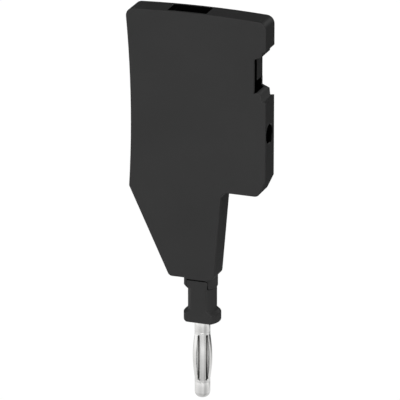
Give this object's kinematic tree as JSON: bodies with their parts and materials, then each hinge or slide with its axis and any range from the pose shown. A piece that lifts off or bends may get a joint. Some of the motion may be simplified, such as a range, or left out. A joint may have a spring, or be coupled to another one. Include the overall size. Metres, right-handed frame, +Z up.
{
  "type": "test adapter",
  "caption": "Flat, narrow insulated test adapter with a sprung round test plug below, a side socket for a test lead, a side notch and a label pocket in its top edge.",
  "frame": {"origin": "on the plug's axis, in the lower face of the neck's flange, which the plug's shoulder seats on", "axes": "+Z up along the plug's axis, away from its tip; +X towards the side socket; -Y out of the plain front face"},
  "size_m": [0.0339, 0.006, 0.0947],
  "materials": {
    "moulded_black": "finely textured moulded polyamide",
    "nickel_plate": "brass and bronze, bright nickel plated",
    "bare_brass": "rolled strip, bare",
    "zinc_steel": "zinc plated"
  },
  "bodies": {
    "root": {"housing": "moulded_black", "rear_cover": "moulded_black", "neck_sleeve": "moulded_black", "plug_pin": "nickel_plate", "spring_cage": "nickel_plate", "contact_bar": "bare_brass", "lock_washer": "zinc_steel", "pin_nut": "zinc_steel", "side_socket": "nickel_plate"}
  },
  "joints": []
}
